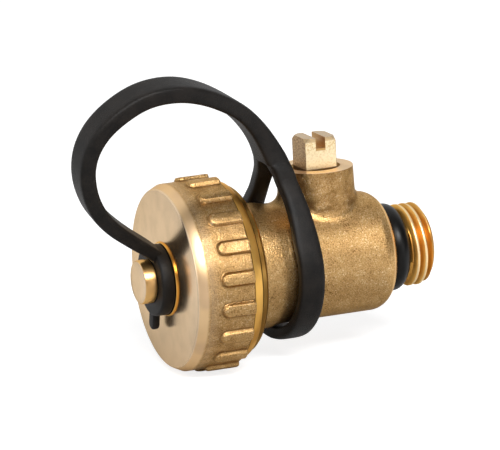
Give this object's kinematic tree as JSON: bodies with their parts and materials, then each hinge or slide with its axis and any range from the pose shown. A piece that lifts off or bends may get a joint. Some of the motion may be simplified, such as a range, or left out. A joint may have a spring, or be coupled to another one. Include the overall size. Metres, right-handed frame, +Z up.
{
  "type": "drain cock",
  "caption": "Small brass ball-valve drain cock with a threaded inlet, a square key stem and a ribbed screw cap held on a rubber strap.",
  "frame": {"origin": "on the body axis, at the inner end of the inlet thread", "axes": "+X along the body axis out of the inlet thread, +Z up along the stem, -Y towards the viewer"},
  "size_m": [0.0591, 0.0307, 0.0483],
  "materials": {
    "forged_brass": "shot-blasted forging with turned faces",
    "turned_brass": "turned and milled, bright",
    "plated_ball": "polished plating",
    "seat_plastic": "smooth white",
    "seal_rubber": "satin black",
    "strap_rubber": "matt black moulding"
  },
  "bodies": {
    "valve": {"valve_body": "forged_brass", "seat_retainer": "turned_brass", "inlet_seat": "seat_plastic", "outlet_seat": "seat_plastic", "inlet_seal": "seal_rubber", "stem_thrust_washer": "seat_plastic"},
    "stem": {"stem": "turned_brass", "ball": "plated_ball", "stem_oring_lower": "seal_rubber", "stem_oring_upper": "seal_rubber"},
    "strap": {"cap_strap": "strap_rubber"},
    "cap": {"cap": "forged_brass", "cap_gasket": "seal_rubber"}
  },
  "joints": [
    {"name": "stem_turn", "type": "hinge", "parent": "valve", "child": "stem", "pos_m": [-0.01338, 0, 0], "axis": [0, 0, 1], "range_deg": [0, 90]},
    {"name": "cap_travel", "type": "slide", "parent": "valve", "child": "strap", "axis": [-1, 0, 0], "range_m": [0, 0.00726], "deforming": ["cap_strap"]},
    {"name": "cap_turn", "type": "hinge", "parent": "strap", "child": "cap", "pos_m": [-0.0397, 0, 0], "axis": [-1, 0, 0], "range_deg": [0, 1440]}
  ],
  "couplings": [
    {"joint": "cap_travel", "follows": "cap_turn", "m_per_rad": 0.00028871}
  ]
}
